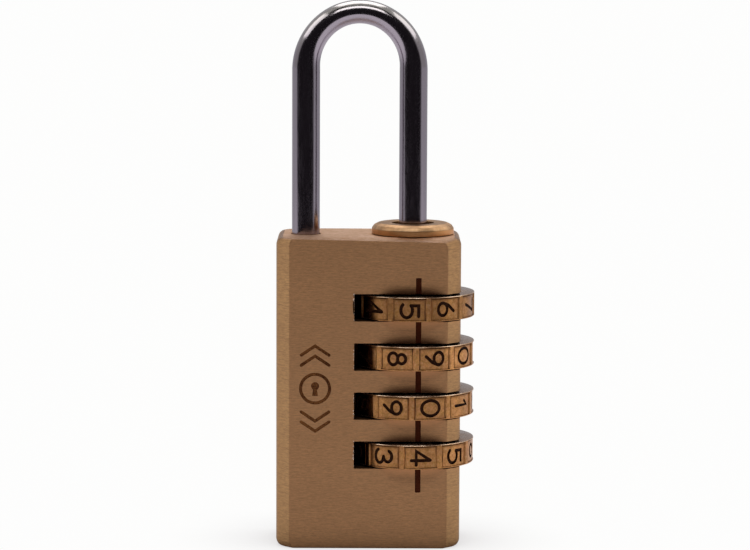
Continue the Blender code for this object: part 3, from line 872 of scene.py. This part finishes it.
def digit_lines():
    """Centre lines of the digits 0 to 9, x to the digit's right and y up, a little under 1 high.
    Each digit is one or two lines; a line is its points and whether it closes on itself."""
    six = [
        (oval((0.02, -0.37), (0.62, 0.47), 24), True),
        ([(-0.53, -0.12), (-0.34, 0.26), (0.25, 0.86)], False),
    ]
    nine = [([(-x, -y) for x, y in points], closed) for points, closed in six]
    return [
        [(oval((0, 0), (0.76, 0.86), 36), True)],
        [([(-0.42, 0.45), (0.0, 0.82), (0.0, -0.82)], False)],
        [(arc((0, 0.42), (0.58, 0.42), 165, -35, 14) + [(-0.62, -0.86), (0.66, -0.86)], False)],
        [
            (arc((-0.02, 0.42), (0.56, 0.41), 160, -88, 16), False),
            (arc((-0.02, -0.42), (0.68, 0.42), 88, -162, 16), False),
        ],
        [
            ([(0.31, 0.90), (-0.64, -0.44), (0.76, -0.44)], False),
            ([(0.31, 0.90), (0.31, -0.90)], False),
        ],
        [
            ([(0.66, 0.86), (-0.40, 0.86), (-0.42, 0.14)], False),
            (arc((0.05, -0.26), (0.72, 0.54), 132, -140, 18), False),
        ],
        six,
        [([(-0.60, 0.84), (0.56, 0.84), (-0.18, -0.86)], False)],
        [
            (oval((0, 0.44), (0.46, 0.38), 24), True),
            (oval((0, -0.37), (0.59, 0.45), 24), True),
        ],
        nine,
    ]


def add_line(bm, points, closed, width, low, high, place):
    """A digit's line as a solid.  A closed line is a hoop about its own middle."""
    points = [Vector((x * DIGIT_WIDTH, y * DIGIT_HEIGHT)) for x, y in points]
    if not closed:
        add_prism(bm, line_outline(points, width), low, high, place)
        return
    middle = sum(points, Vector((0.0, 0.0))) / len(points)
    spokes = [p - middle for p in points]
    outer, inner = (
        [middle + s * (1.0 + side * width / 2.0 / s.length) for s in spokes] for side in (1.0, -1.0)
    )
    add_hoop(bm, outer, inner, low, high, place)


def polar(radius, angle):
    return radius * math.cos(angle), radius * math.sin(angle)


def sector_arc(radius, half_angle, steps=12):
    return [polar(radius, half_angle * (2.0 * k / steps - 1.0)) for k in range(steps + 1)]


def dial_blank():
    """The plain ring, with the worn bevels of its rims."""
    half = DIAL_HEIGHT / 2.0
    depth, height = DIAL_BEVEL
    profile = rounded([
        (DIAL_BORE, half),
        (DIAL_RADIUS - depth, half),
        (DIAL_RADIUS, half - height),
        (DIAL_RADIUS, height - half),
        (DIAL_RADIUS - depth, -half),
        (DIAL_BORE, -half),
    ], DIAL_ROUND, 2)
    return add_piece("dial_pattern", turned(profile, 240), ["dial_brass"])


def add_panel(panels, side_lines, top_lines, turn):
    """Cutters for a sunk panel, for the stamped lines at its sides, and for a line along its top that
    carries painted shadow under the lip.
    """
    floor, crest, reach = PANEL_FLOOR, DIAL_RADIUS + PANEL_CREST, DIAL_RADIUS + RIM_OVERRUN
    tall = DIAL_HEIGHT / 2.0 - DIAL_LIP
    foot = PANEL_HALF_ANGLE - PANEL_SLOPE
    corners = ((1, crest), (1, reach), (-1, reach), (-1, crest))
    sides = [polar(radius, side * PANEL_HALF_ANGLE) for side, radius in corners]
    add_prism(panels, sector_arc(floor, foot) + sides, -tall, tall, turn)
    low, high = floor - PANEL_LINE_DEPTH, floor + PANEL_LINE_DEPTH
    # A dark line under the top lip: painted shadow of the lip, filled with the digits' dark.
    top_line = sector_arc(low, foot) + sector_arc(high, foot)[::-1]
    add_prism(top_lines, top_line, tall - PANEL_LINE, tall, turn)
    inner = foot - PANEL_LINE / floor
    for side in (1.0, -1.0):
        ends = ((low, foot), (low, inner), (high, inner), (high, foot))
        side_line = [polar(radius, side * angle) for radius, angle in ends]
        add_prism(side_lines, side_line, -tall, tall, turn)


def add_digit(strokes, lines, turn):
    """Cutters for a digit's lines.  They may cross, so the second goes into a solid of its own."""
    upright = Matrix(((0, 0, 1, 0), (0, 1, 0, 0), (-1, 0, 0, 0), (0, 0, 0, 1)))
    for layer, (points, closed) in enumerate(lines):
        low = PANEL_FLOOR - (STROKE_DEPTH + layer * LAYER_STEP)
        add_line(strokes[layer], points, closed, STROKE, low, DIAL_RADIUS + RIM_OVERRUN, turn @ upright)


def dial_mesh():
    """One dial: rims above and below sunk panels, with a rib between them, each with its digit."""
    pattern = dial_blank()
    grooves, panels, side_lines, top_lines, *strokes = (bmesh.new() for _ in range(6))
    for k, lines in enumerate(digit_lines()):
        turn = Matrix.Rotation(k * DIGIT_STEP, 4, "Z")
        corner = (DIAL_BORE - BORE_OVERRUN, -GROOVE_WIDTH / 2.0, -DIAL_HEIGHT)
        add_box(grooves, corner, (GROOVE_RADIUS, GROOVE_WIDTH / 2.0, DIAL_HEIGHT), turn)
        add_panel(panels, side_lines, top_lines, turn)
        add_digit(strokes, lines, turn)
    tools = [
        subtract(pattern, grooves, "dial_brass", "groove_tool"),
        subtract(pattern, panels, "dial_brass", "panel_tool"),
        subtract(pattern, side_lines, "dial_groove", "side_line_tool"),
        subtract(pattern, top_lines, "dial_mark", "top_line_tool"),
        subtract(pattern, strokes[0], "dial_mark", "stroke_tool_a"),
        subtract(pattern, strokes[1], "dial_mark", "stroke_tool_b"),
    ]
    bake(pattern, tools)
    weigh_normals(pattern, 32.0)
    mesh = pattern.data
    bpy.data.objects.remove(pattern)
    return mesh


def make_dials():
    pattern = dial_mesh()
    for i, centre in enumerate(DIAL_CENTRES):
        mesh = pattern.copy()
        turn = -math.pi / 2.0 + DIAL_REST[i] - FRONT_DIGIT[i] * DIGIT_STEP
        mesh.transform(Matrix.Rotation(turn, 4, "Z"))
        ring = bpy.data.objects.new(f"dial_ring_{i + 1}", mesh)
        ring.location = centre
        ring.pass_index = i + 1
        bpy.context.collection.objects.link(ring)
        install(ring, f"dial_{i + 1}", "dial_brass", f"dial_{i + 1}")


# ---------------- shackle, collar, plug

def wire_stations():
    """The wire from the toe's end to the long leg's end, bevelled at both and flattened on top."""
    full, thin = WIRE_RADIUS, WIRE_RADIUS - LEG_BEVEL
    toe, leg = Vector((TOE_X, 0.0, TOE_END_Z)), Vector((AXIS.x, 0.0, SHACKLE_LOW.z))
    rise = LEG_BEVEL * UP
    stations = [(toe, -thin * RIGHT, thin * BACK), (toe + rise, -full * RIGHT, full * BACK)]
    for i in range(ARCH_STEPS + 1):
        a = math.pi * (1.0 - i / ARCH_STEPS)
        centre = ARCH_FOOT + Vector((ARCH_REACH * math.cos(a), 0.0, ARCH_RISE * math.sin(a)))
        outward = Vector((ARCH_RISE * math.cos(a), 0.0, ARCH_REACH * math.sin(a))).normalized()
        thickness = full - (full - ARCH_HALF_THICKNESS) * math.sin(a)
        stations.append((centre, thickness * outward, full * BACK))
    return stations + [(leg + rise, full * RIGHT, full * BACK), (leg, thin * RIGHT, thin * BACK)]


def make_shackle():
    """The bent wire, with a fin on its long leg for each sleeve."""
    bm = bmesh.new()
    add_tube(bm, wire_stations(), WIRE_SIDES)
    bar = add_piece("shackle_bar", bm, ["polished_chrome"])
    fins = bmesh.new()
    for centre in DIAL_CENTRES:
        low = centre.z - SLEEVE_BELOW + FIN_RISE
        corner = (AXIS.x - FIN_RADIUS, -FIN_WIDTH / 2.0, low)
        add_box(fins, corner, (AXIS.x - FIN_ROOT, FIN_WIDTH / 2.0, low + FIN_HEIGHT))
    tool = subtract(bar, fins, "polished_chrome", "fin_tool")
    bar.modifiers[0].operation = "UNION"
    bake(bar, [tool])
    weigh_normals(bar, 30.0)
    install(bar, "shackle", "polished_chrome", "shackle")


def make_collar():
    height = COLLAR_HIGH.z - TOP
    spigot = COLLAR_LOW.z - TOP
    profile = rounded([
        (COLLAR_BORE, height),
        (COLLAR_TOP_RADIUS, height),
        COLLAR_SHOULDER,
        (COLLAR_RADIUS, COLLAR_RIM),
        (COLLAR_RADIUS, FIT_GAP),
        (SPIGOT_RADIUS, FIT_GAP),
        (SPIGOT_RADIUS, spigot),
        (COLLAR_BORE, spigot),
    ], COLLAR_ROUND, 4)
    ring = add_piece("collar_ring", turned(profile, 128), ["turned_brass"], AXIS + Vector((0, 0, TOP)))
    weigh_normals(ring, SHARP)
    install(ring, "case", "turned_brass", "shackle_collar")


def make_plug():
    """The disc pressed into the bottom, with a shallow centre mark from the lathe."""
    radius, low, high = PLUG_HIGH.x - AXIS.x, PLUG_LOW.z, PLUG_HIGH.z
    outer, inner, dish = PLUG_DISH
    centre, centre_depth = PLUG_CENTRE
    profile = rounded([
        (0.0, high),
        (radius, high),
        (radius, low),
        (outer, low),
        (inner, low + dish),
        (centre, low + dish),
        (0.0, low + centre_depth),
    ], PLUG_ROUND, 4, axis_points=(0, 6))
    disc = add_piece("plug_disc", turned(profile, 96), ["turned_brass"], AXIS)
    weigh_normals(disc, SHARP)
    install(disc, "case", "turned_brass", "bottom_plug")


def coil_stations(start, length, radius):
    """The wire of a coil spring of the given length, along X from its start."""
    count = SPRING_TURNS * SPRING_STEPS
    stations = []
    for k in range(count + 1):
        a = 2.0 * math.pi * k / SPRING_STEPS
        outward = Vector((0.0, math.cos(a), math.sin(a)))
        rise = SPRING_WIRE + (length - 2.0 * SPRING_WIRE) * k / count
        centre = start + rise * RIGHT + radius * outward
        stations.append((centre, SPRING_WIRE * outward, SPRING_WIRE * RIGHT))
    return stations


def make_springs():
    """The springs behind the balls, built at rest; in the real lock they are squeezed when a ball is
    pressed.
    """
    for i in range(1, DIAL_COUNT + 1):
        low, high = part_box(f"detent_spring_{i}")
        middle = (low + high) / 2.0
        anchor = Vector((low.x, middle.y, middle.z))
        length = high.x - low.x
        radius = (high.y - low.y) / 2.0 - SPRING_WIRE
        bm = bmesh.new()
        add_tube(bm, coil_stations(anchor, length, radius), SPRING_SIDES)
        spring = add_piece(f"coil_spring_{i}", bm, ["spring_steel"], sharp=50.0)
        install(spring, "case", "spring_steel", f"detent_spring_{i}")
        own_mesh(spring)


def finish_inner_parts():
    """Sleeves, balls, the washer and its spring keep their CAD shapes and get finished metal."""
    finishes = {"spring_washer": "spring_steel", "stack_spring": "spring_steel"}
    for i in range(1, DIAL_COUNT + 1):
        finishes[f"code_sleeve_{i}"] = "sleeve_brass"
        finishes[f"detent_ball_{i}"] = "spring_steel"
    for node, key in finishes.items():
        for place in frame["nodes"][node].material_slots:
            place.material = MATERIALS[key]


# ---------------- studio

def direction(azimuth, elevation):
    """The direction out from the lock.  Azimuth 0 is in front and 90 on the right."""
    a, e = math.radians(azimuth), math.radians(elevation)
    return Vector((math.sin(a) * math.cos(e), -math.cos(a) * math.cos(e), math.sin(e)))


def add_camera():
    out = direction(CAMERA_AZIMUTH, CAMERA_ELEVATION)
    roll = Matrix.Rotation(math.radians(CAMERA_ROLL), 3, "Z")
    turn = out.to_track_quat("Z", "Y").to_matrix() @ roll
    data = bpy.data.cameras.new("camera")
    data.lens = CAMERA_LENS
    data.sensor_width = 36.0
    data.clip_start = 0.01
    data.clip_end = 20.0
    camera = bpy.data.objects.new("camera", data)
    camera.matrix_world = Matrix.LocRotScale(CAMERA_TARGET + CAMERA_DISTANCE * out, turn, None)
    bpy.context.collection.objects.link(camera)
    bpy.context.scene.camera = camera


PALE = (0.985, 0.985, 0.98)
WALL = (0.36, 0.36, 0.35)
BACK_WALL = (0.42, 0.42, 0.44)
DARK_ROOM = (0.014, 0.012, 0.014)
TABLE = (0.80, 0.78, 0.81)
FAR_TABLE = (0.44, 0.44, 0.46)
TABLE_SHADE = (0.10, 0.09, 0.09)  # the table close to the lock
TABLE_EDGE = (-0.122, -0.102)  # the table in front of this y is as dark as the room
ROOM_LEFT, ROOM_RIGHT = (-88.0, -72.0), (58.0, 74.0)  # azimuths where the dark front fades
ROOM_TOP = (68.0, 80.0)  # elevations where it fades
FLOOR_RADIUS = 3.0
FLOOR_DROP = 0.02 * MM  # keeps the floor clear of the body's bottom face
SOFTBOX_DISTANCE = 0.6
SOFTBOXES = [  # name, azimuth, elevation, width, height, power
    ("front_softbox", 0.0, 57.0, 0.48, 0.20, 0.66),
    ("back_softbox", 180.0, 63.0, 0.42, 0.42, 0.95),
    ("left_softbox", -86.0, 42.0, 0.46, 0.30, 0.55),
    ("right_softbox", 100.0, 42.0, 0.46, 0.30, 0.50),
]


def in_front(graph, x, y):
    """1 in the directions towards the camera side, where the room is dark, and 0 elsewhere."""
    azimuth = graph.math("ARCTAN2", x, graph.math("MULTIPLY", y, -1.0))
    left = graph.span(azimuth, *map(math.radians, ROOM_LEFT), smooth=True)
    right = graph.span(azimuth, *map(math.radians, ROOM_RIGHT), 1.0, 0.0, smooth=True)
    return graph.math("MULTIPLY", left, right)


def add_world():
    """A pale surround for the camera; in reflections, grey walls and a dark room in front."""
    world = bpy.data.worlds.new("studio")
    bpy.context.scene.world = world
    world.use_nodes = True
    world.node_tree.nodes.clear()
    g = Graph(world.node_tree)
    x, y, z = g.parts(g.add("ShaderNodeTexCoord").outputs["Generated"])
    fade = [math.sin(math.radians(angle)) for angle in ROOM_TOP]
    low = g.span(z, *fade, 1.0, 0.0, smooth=True)
    dark = g.math("MULTIPLY", in_front(g, x, y), low)
    walls = g.mix(g.span(y, 0.2, 0.8, smooth=True), WALL, BACK_WALL)
    room = g.mix(dark, walls, DARK_ROOM)
    path = g.add("ShaderNodeLightPath")
    colour = g.mix(path.outputs["Is Camera Ray"], room, PALE)
    background = g.add("ShaderNodeBackground")
    g.link(colour, background.inputs["Color"])
    output = g.add("ShaderNodeOutputWorld")
    g.link(background.outputs[0], output.inputs["Surface"])


def floor_material():
    """Pale with a soft contact shadow for the camera; a grey table in reflections."""
    material = bpy.data.materials.new("floor")
    material.use_nodes = True
    material.node_tree.nodes.clear()
    g = Graph(material.node_tree)
    x, y, _ = g.parts(g.add("ShaderNodeNewGeometry").outputs["Position"])
    far = g.span(y, *TABLE_EDGE, 1.0, 0.0, smooth=True)
    beside = [
        g.math("MAXIMUM", g.math("SUBTRACT", g.math("ABSOLUTE", place), half), 0.0)
        for place, half in ((x, BODY_HIGH.x), (y, BODY_HIGH.y))
    ]
    distance = g.math("ADD", *beside)
    table = g.mix(g.span(distance, 0.15, 0.50), TABLE, FAR_TABLE)
    table = g.mix(g.span(distance, 0.0, 30.0 * MM, 0.28, 0.0), table, TABLE_SHADE)
    table = g.mix(g.span(distance, 0.5 * MM, 3.0 * MM), TABLE_SHADE, table)
    reflected = g.mix(g.math("MULTIPLY", in_front(g, x, y), far), table, DARK_ROOM)
    shade = g.add("ShaderNodeAmbientOcclusion", samples=16)
    shade.inputs["Distance"].default_value = 18.0 * MM
    shown = g.mix(g.span(shade.outputs["AO"], 0.35, 0.92), (0.72, 0.70, 0.70), PALE)
    path = g.add("ShaderNodeLightPath")
    emission = g.add("ShaderNodeEmission")
    g.link(g.mix(path.outputs["Is Camera Ray"], reflected, shown), emission.inputs["Color"])
    output = g.add("ShaderNodeOutputMaterial")
    g.link(emission.outputs[0], output.inputs["Surface"])
    return material


def add_floor():
    bm = bmesh.new()
    bmesh.ops.create_circle(bm, cap_ends=True, segments=96, radius=FLOOR_RADIUS)
    mesh = bpy.data.meshes.new("floor")
    bm.to_mesh(mesh)
    bm.free()
    mesh.materials.append(floor_material())
    floor = bpy.data.objects.new("floor", mesh)
    floor.location.z = -FLOOR_DROP
    bpy.context.collection.objects.link(floor)


def add_softbox(name, azimuth, elevation, width, height, power):
    """An area light that faces the lock."""
    out = direction(azimuth, elevation)
    data = bpy.data.lights.new(name, "AREA")
    data.shape = "RECTANGLE"
    data.size = width
    data.size_y = height
    data.energy = power
    light = bpy.data.objects.new(name, data)
    light.location = CAMERA_TARGET + SOFTBOX_DISTANCE * out
    light.rotation_mode = "QUATERNION"
    light.rotation_quaternion = out.to_track_quat("Z", "Y")
    light.visible_camera = False
    bpy.context.collection.objects.link(light)


# ---------------- assembly

bpy.context.scene.view_settings.view_transform = "Standard"
random.seed(4)
make_body()
make_dials()
make_shackle()
make_collar()
make_plug()
make_springs()
finish_inner_parts()
add_camera()
add_world()
add_floor()
for softbox in SOFTBOXES:
    add_softbox(*softbox)
